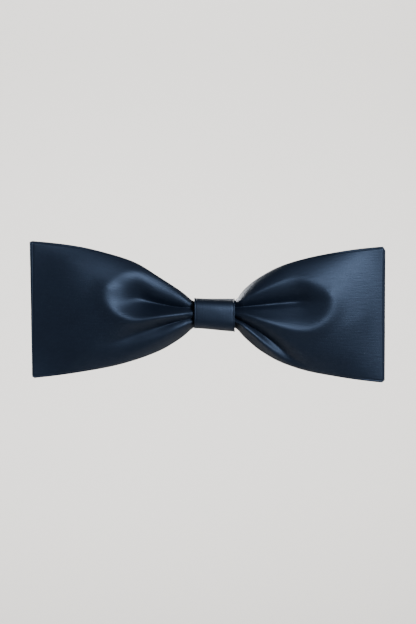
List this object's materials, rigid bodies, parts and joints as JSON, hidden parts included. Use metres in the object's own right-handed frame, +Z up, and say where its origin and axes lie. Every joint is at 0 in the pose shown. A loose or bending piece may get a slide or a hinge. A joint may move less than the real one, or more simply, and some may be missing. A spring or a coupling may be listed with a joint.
{
  "type": "hair bow",
  "caption": "Wide padded satin bow gathered into a flat knot band, on a sprung barrette with a hinged arm and squeeze catch.",
  "frame": {"origin": "middle of the clasp's grip, between tension bar and closed arm, on the bow's centre line", "axes": "+X along the bow, towards its shorter loop and the catch; +Y out of the bow's back, the way the arm opens; +Z up"},
  "size_m": [0.22, 0.0364, 0.088],
  "materials": {
    "satin": "deep navy satin, soft sheen",
    "interfacing": "charcoal non-woven stiffener",
    "batting": "white polyester wadding",
    "thread": "navy polyester sewing thread",
    "felt": "navy wool-mix felt",
    "plated_steel": "nickel plated, softly brushed",
    "spring_steel": "bright spring steel",
    "pin_steel": "turned and headed steel"
  },
  "bodies": {
    "bow": {"front_panel": "satin", "back_panel": "satin", "front_interfacing": "interfacing", "back_interfacing": "interfacing", "left_batting": "batting", "right_batting": "batting", "gathering_thread": "thread", "knot_lining": "interfacing", "knot_band": "satin", "band_stitches": "thread", "felt_backing": "felt", "left_tacking": "thread", "right_tacking": "thread", "base_plate": "plated_steel", "tension_bar": "spring_steel", "hinge_pin": "pin_steel", "catch_saddle": "plated_steel", "catch_rivet": "pin_steel"},
    "arm": {"clasp_arm": "plated_steel"},
    "upper_leg": {"upper_catch_leg": "spring_steel"},
    "lower_leg": {"lower_catch_leg": "spring_steel"}
  },
  "joints": [
    {"name": "clasp_hinge", "type": "hinge", "parent": "bow", "child": "arm", "pos_m": [-0.038, 0.00365, 0], "axis": [0, 0, 1], "range_deg": [0, 50]},
    {"name": "upper_leg_flex", "type": "hinge", "parent": "bow", "child": "upper_leg", "pos_m": [0.038, 0.00032, 0.002], "axis": [-1, 0, 0], "range_deg": [0, 6], "stiffness_Nm_per_rad": 0.2},
    {"name": "lower_leg_flex", "type": "hinge", "parent": "bow", "child": "lower_leg", "pos_m": [0.038, 0.00032, -0.002], "axis": [1, 0, 0], "range_deg": [0, 6], "stiffness_Nm_per_rad": 0.2}
  ]
}
